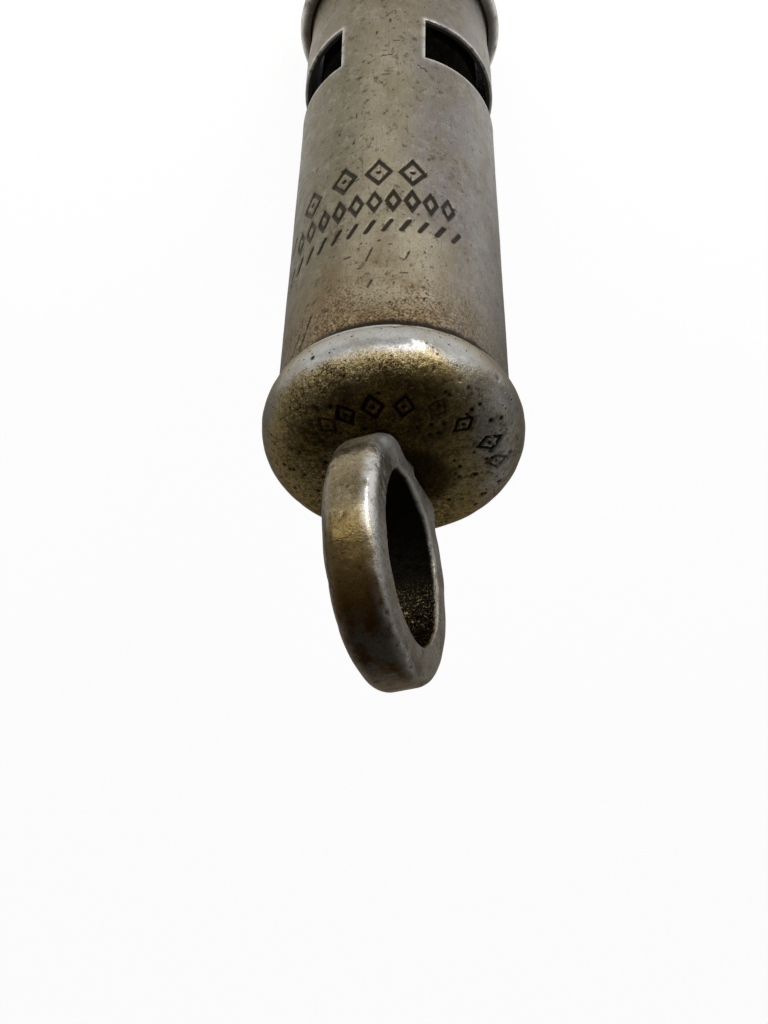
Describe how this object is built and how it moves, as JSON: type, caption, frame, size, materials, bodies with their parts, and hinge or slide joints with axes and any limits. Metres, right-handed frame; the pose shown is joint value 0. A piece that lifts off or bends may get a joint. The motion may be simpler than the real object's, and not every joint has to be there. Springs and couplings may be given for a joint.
{
  "type": "two-chamber round whistle",
  "caption": "Cylindrical metal whistle with a rolled mouth lip, two side windows, a domed base cap and an oval lanyard loop that swivels on the cap.",
  "frame": {"origin": "centre of the mouth rim, on the whistle's axis", "axes": "+Z along the axis from the mouth to the loop; the divider plate lies in the YZ plane and the two windows face +X and -X"},
  "size_m": [0.0206, 0.0206, 0.0809],
  "materials": {
    "plated_barrel": "satin, worn nickel plate",
    "plated_cap": "satin, worn nickel plate with brown tarnish",
    "plated_loop": "satin, nickel worn through to brass at the edges",
    "block_metal": "dull cast metal",
    "bare_brass": "dull tarnished brass"
  },
  "bodies": {
    "whistle": {"barrel": "plated_barrel", "divider_plate": "bare_brass", "fipple_block_front": "block_metal", "fipple_block_rear": "block_metal", "chamber_stop": "bare_brass", "end_disc": "bare_brass", "base_cap": "plated_cap"},
    "loop": {"loop": "plated_loop", "loop_washer": "bare_brass"}
  },
  "joints": [
    {"name": "loop_swivel", "type": "hinge", "parent": "whistle", "child": "loop", "pos_m": [0, 0, 0.0625], "axis": [0, 0, 1], "continuous": true}
  ]
}
